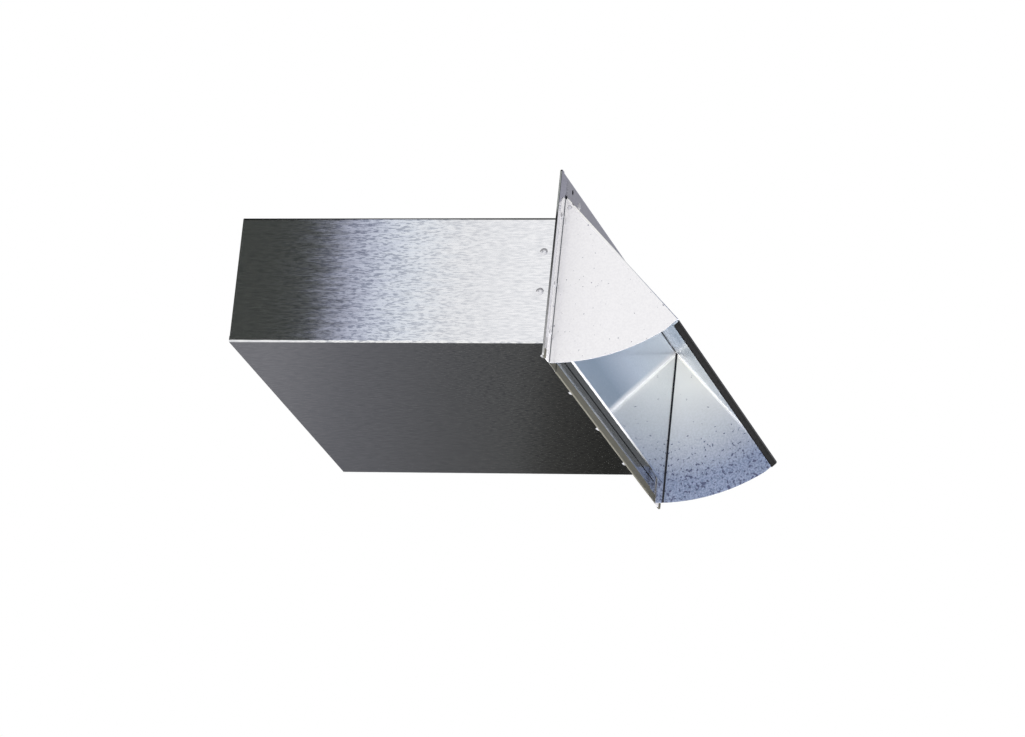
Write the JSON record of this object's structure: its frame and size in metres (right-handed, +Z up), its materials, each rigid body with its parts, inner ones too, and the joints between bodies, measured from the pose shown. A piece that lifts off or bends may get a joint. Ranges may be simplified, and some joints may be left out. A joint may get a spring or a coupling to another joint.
{
  "type": "wall vent cap",
  "caption": "Galvanised wall vent cap: a rectangular duct sleeve, a flat wall plate and a sloping hood over a hinged damper flap.",
  "frame": {"origin": "centre of the duct in the plane of the wall plate's front face", "axes": "+X out of the wall along the duct, +Y across the duct's width, +Z up"},
  "size_m": [0.2896, 0.3, 0.1215],
  "materials": {
    "sleeve_sheet": "bright galvanised sheet",
    "plate_sheet": "bright galvanised sheet",
    "hood_sheet": "bright galvanised sheet",
    "flap_sheet": "bright galvanised sheet",
    "rod_steel": "zinc plated wire",
    "rivet_steel": "zinc plated"
  },
  "bodies": {
    "cap": {"duct_sleeve": "sleeve_sheet", "wall_plate": "plate_sheet", "hood": "hood_sheet", "hinge_rod": "rod_steel", "collar_rivets": "rivet_steel", "hood_rivets": "rivet_steel"},
    "flap": {"damper_flap": "flap_sheet"}
  },
  "joints": [
    {"name": "damper_swing", "type": "hinge", "parent": "cap", "child": "flap", "pos_m": [0.00365, 0, 0.0444], "axis": [0, -1, 0], "range_deg": [0, 44]}
  ]
}
